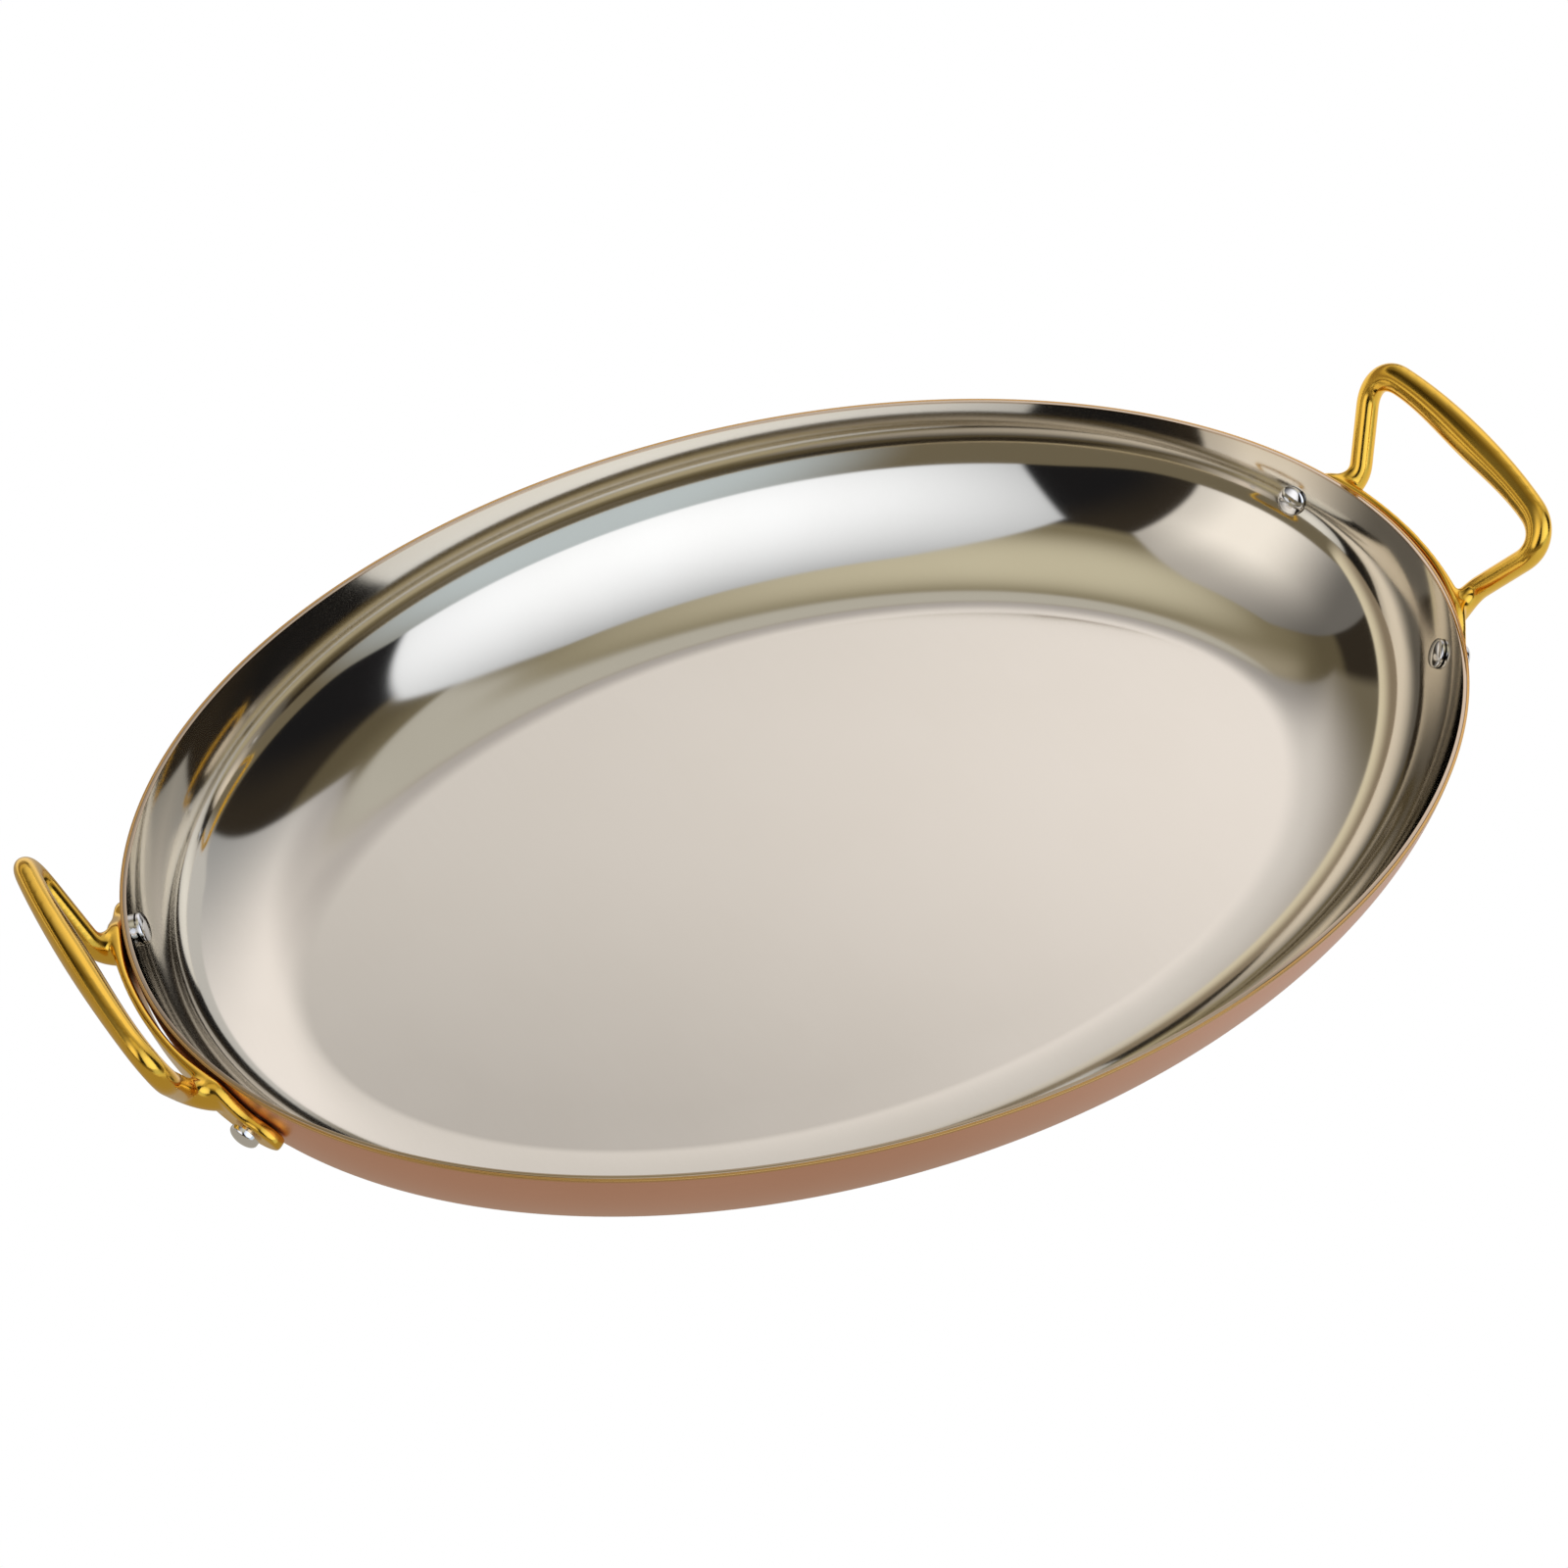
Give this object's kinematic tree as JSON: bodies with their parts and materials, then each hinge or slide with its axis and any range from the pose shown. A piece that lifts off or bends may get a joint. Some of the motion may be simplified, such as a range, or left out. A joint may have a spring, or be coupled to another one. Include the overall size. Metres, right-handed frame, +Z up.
{
  "type": "frying pan",
  "caption": "Shallow oval frying pan with a curved steel-lined copper wall, a flat floor and a riveted brass loop handle rising at each end",
  "frame": {"origin": "Centre of the bounding box in X and Y, on the plane that the pan stands on", "axes": "+X runs along the oval's long axis toward the right handle, +Y along its short axis away from the viewer, +Z up out of the pan"},
  "size_m": [0.4024, 0.2522, 0.0703],
  "materials": {
    "polished_steel": "mirror-polished walls with a satin floor",
    "satin_copper": null,
    "polished_brass": "polished cast brass",
    "rivet_steel": "polished steel"
  },
  "bodies": {
    "root": {"steel_liner": "polished_steel", "copper_shell": "satin_copper", "handle_right": "polished_brass", "handle_left": "polished_brass", "rivet_right_front": "rivet_steel", "rivet_right_back": "rivet_steel", "rivet_left_front": "rivet_steel", "rivet_left_back": "rivet_steel"}
  },
  "joints": []
}
